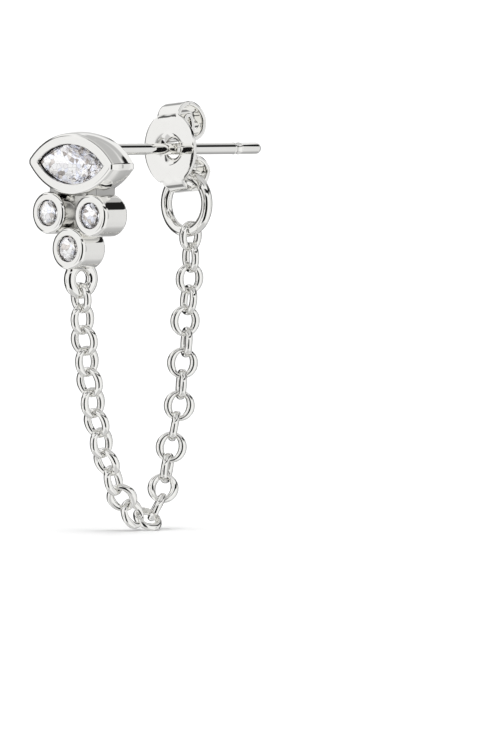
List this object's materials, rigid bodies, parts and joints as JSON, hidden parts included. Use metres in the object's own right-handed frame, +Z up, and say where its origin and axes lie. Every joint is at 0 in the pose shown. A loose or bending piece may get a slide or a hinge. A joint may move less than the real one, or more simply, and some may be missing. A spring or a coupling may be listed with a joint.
{
  "type": "chain drop earring",
  "caption": "Stone-set stud whose cable chain hangs under the ear lobe from a loop below the setting back to a ring on its butterfly clutch.",
  "frame": {"origin": "on the post's axis, in the middle of the ear lobe's place between the setting and the clutch", "axes": "+Z up, the stones' faces towards -Y, the post and its tip towards +Y, X across the plane of symmetry"},
  "size_m": [0.006, 0.0163, 0.0242],
  "materials": {
    "polished_silver": "polished, rhodium-bright silver",
    "clear_stone": "clear brilliant-cut stone"
  },
  "bodies": {
    "root": {"setting": "polished_silver", "marquise_stone": "clear_stone", "round_stone_left": "clear_stone", "round_stone_right": "clear_stone", "round_stone_bottom": "clear_stone", "clutch": "polished_silver", "jump_ring": "polished_silver", "chain": "polished_silver"}
  },
  "joints": []
}
